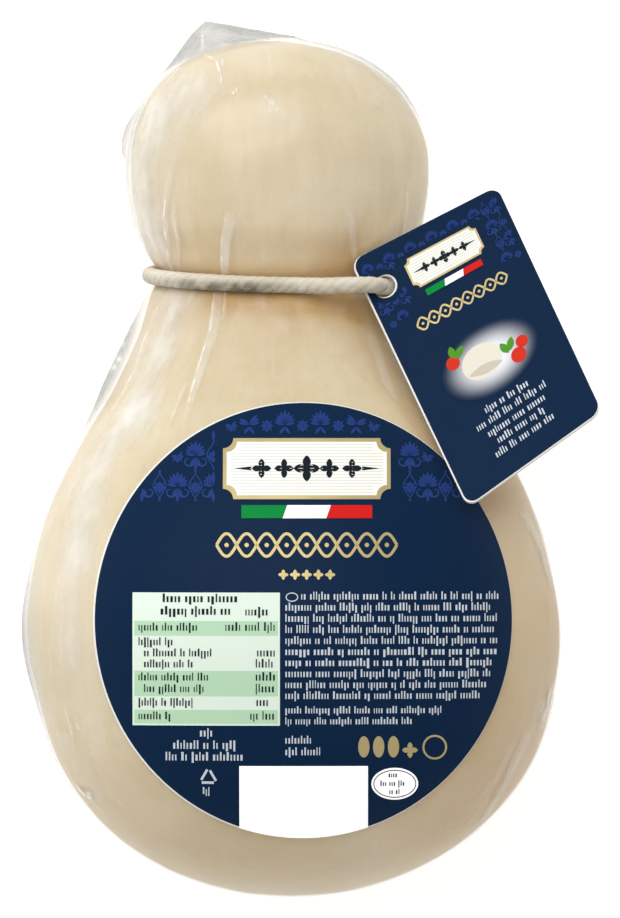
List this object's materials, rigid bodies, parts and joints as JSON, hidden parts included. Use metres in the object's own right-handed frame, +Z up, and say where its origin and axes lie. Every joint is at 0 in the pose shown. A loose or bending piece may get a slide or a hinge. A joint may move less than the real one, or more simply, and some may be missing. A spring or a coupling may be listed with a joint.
{
  "type": "scamorza cheese in clear film",
  "caption": "Pear-shaped scamorza cheese in clear shrink film, lying on its back, tied at the neck with a cotton cord, with a round front label and a hang tag.",
  "frame": {"origin": "On the surface the cheese lies on, below the middle of its box.", "axes": "+X to the right of the label as it is read, +Y from the round body to the head, +Z up, out of the labelled front."},
  "size_m": [0.0837, 0.1279, 0.0646],
  "materials": {
    "cheese": "smooth moist ivory cheese",
    "film": "clear glossy shrink film",
    "label": "navy printed adhesive label, satin",
    "tag": "navy printed card, satin laminate, white core",
    "cord": "twisted natural cotton"
  },
  "bodies": {
    "root": {"wrapped_cheese": "cheese", "front_label": "label", "hang_tag": "tag", "neck_cord": "cord"}
  },
  "joints": []
}
